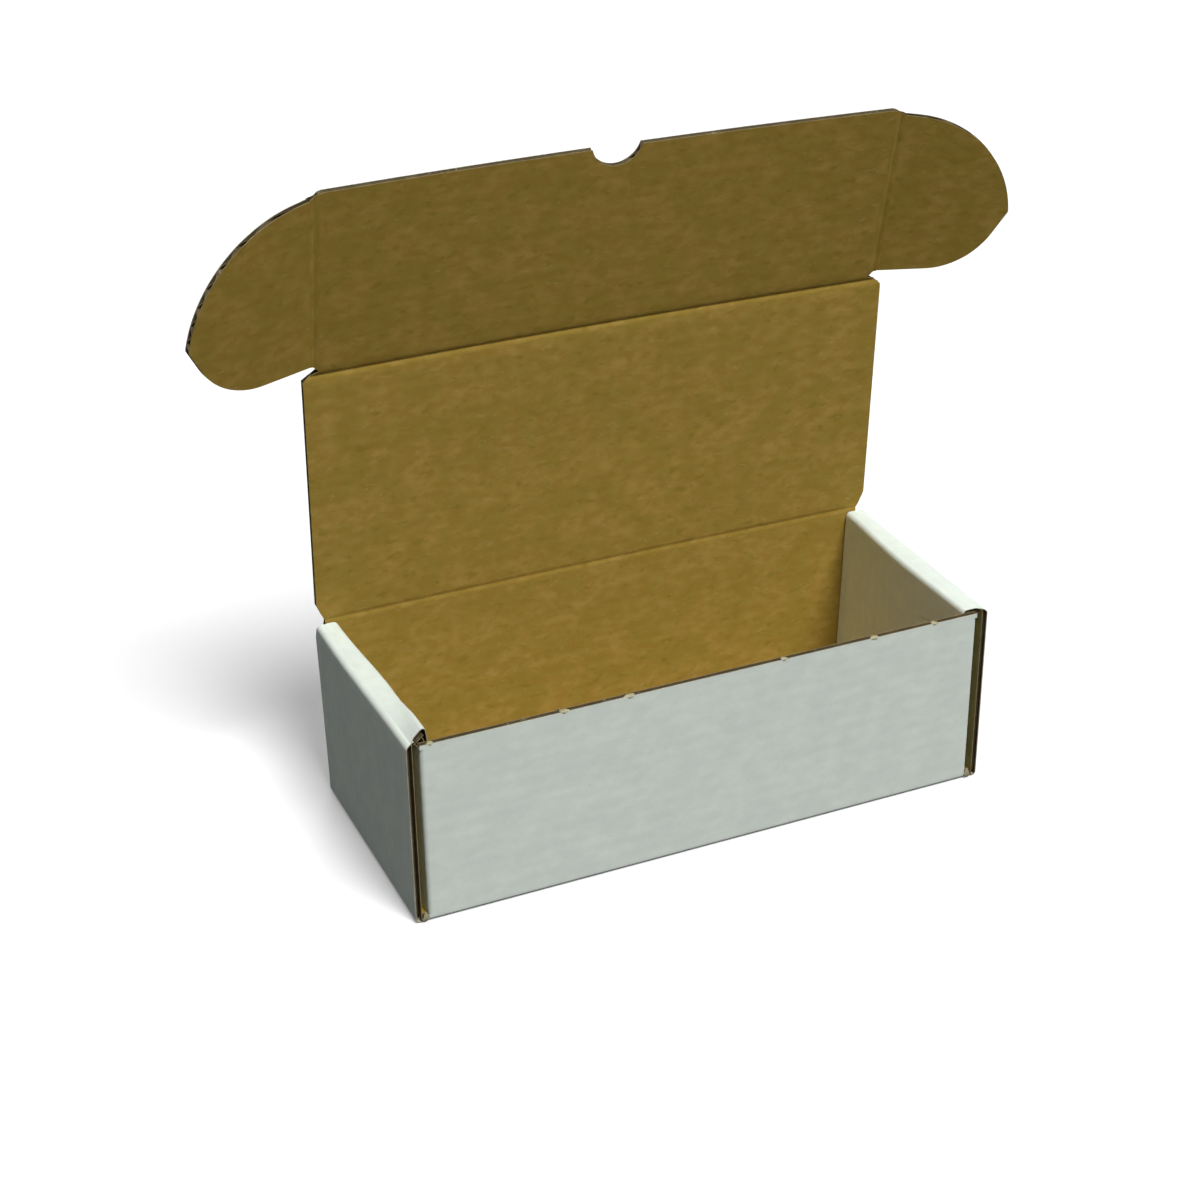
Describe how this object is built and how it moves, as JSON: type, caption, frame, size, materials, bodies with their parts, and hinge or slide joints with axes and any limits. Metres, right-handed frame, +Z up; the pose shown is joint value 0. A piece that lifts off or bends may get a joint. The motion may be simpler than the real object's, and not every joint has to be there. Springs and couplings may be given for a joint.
{
  "type": "card storage box",
  "caption": "Open card storage box folded from corrugated board, with rolled double ends, a hinged lid, a front flap with thumb notch and two tuck-in ears.",
  "frame": {"origin": "centre of the underside", "axes": "+X to the right along the length, -Y out of the front wall, +Z up"},
  "size_m": [0.3453, 0.1044, 0.2633],
  "materials": {
    "white_liner": "matt, mottled white bleached liner",
    "kraft_liner": "matt brown kraft with fibre flecks",
    "fluting": "matt brown fluting paper"
  },
  "bodies": {
    "root": {"back_left_corner_flap_fluting": "fluting", "back_left_corner_flap_kraft_liner": "kraft_liner", "back_left_corner_flap_white_liner": "white_liner", "back_right_corner_flap_fluting": "fluting", "back_right_corner_flap_kraft_liner": "kraft_liner", "back_right_corner_flap_white_liner": "white_liner", "back_wall_fluting": "fluting", "back_wall_kraft_liner": "kraft_liner", "back_wall_white_liner": "white_liner", "bottom_fluting": "fluting", "bottom_kraft_liner": "kraft_liner", "bottom_white_liner": "white_liner", "front_left_corner_flap_fluting": "fluting", "front_left_corner_flap_kraft_liner": "kraft_liner", "front_left_corner_flap_white_liner": "white_liner", "front_right_corner_flap_fluting": "fluting", "front_right_corner_flap_kraft_liner": "kraft_liner", "front_right_corner_flap_white_liner": "white_liner", "front_wall_fluting": "fluting", "front_wall_kraft_liner": "kraft_liner", "front_wall_white_liner": "white_liner", "left_end_fluting": "fluting", "left_end_kraft_liner": "kraft_liner", "left_end_white_liner": "white_liner", "left_inner_end_fluting": "fluting", "left_inner_end_kraft_liner": "kraft_liner", "left_inner_end_white_liner": "white_liner", "left_top_strip_fluting": "fluting", "left_top_strip_kraft_liner": "kraft_liner", "left_top_strip_white_liner": "white_liner", "right_end_fluting": "fluting", "right_end_kraft_liner": "kraft_liner", "right_end_white_liner": "white_liner", "right_inner_end_fluting": "fluting", "right_inner_end_kraft_liner": "kraft_liner", "right_inner_end_white_liner": "white_liner", "right_top_strip_fluting": "fluting", "right_top_strip_kraft_liner": "kraft_liner", "right_top_strip_white_liner": "white_liner"},
    "lid": {"lid_fluting": "fluting", "lid_kraft_liner": "kraft_liner", "lid_white_liner": "white_liner"},
    "front_flap": {"front_flap_fluting": "fluting", "front_flap_kraft_liner": "kraft_liner", "front_flap_white_liner": "white_liner"},
    "left_ear": {"left_ear_fluting": "fluting", "left_ear_kraft_liner": "kraft_liner", "left_ear_white_liner": "white_liner"},
    "right_ear": {"right_ear_fluting": "fluting", "right_ear_kraft_liner": "kraft_liner", "right_ear_white_liner": "white_liner"}
  },
  "joints": [
    {"name": "lid_hinge", "type": "hinge", "parent": "root", "child": "lid", "pos_m": [0, 0.05095, 0.08065], "axis": [1, 0, 0], "range_deg": [-93.4, 86.6]},
    {"name": "flap_hinge", "type": "hinge", "parent": "lid", "child": "front_flap", "pos_m": [0, 0.04462, 0.18726], "axis": [1, 0, 0], "range_deg": [-9.8, 80.2]},
    {"name": "left_ear_hinge", "type": "hinge", "parent": "front_flap", "child": "left_ear", "pos_m": [-0.12017, 0.04462, 0.18726], "axis": [0, -0.2284, 0.9736], "range_deg": [-17, 73]},
    {"name": "right_ear_hinge", "type": "hinge", "parent": "front_flap", "child": "right_ear", "pos_m": [0.12017, 0.04462, 0.18726], "axis": [0, 0.2284, -0.9736], "range_deg": [-12, 78]}
  ]
}
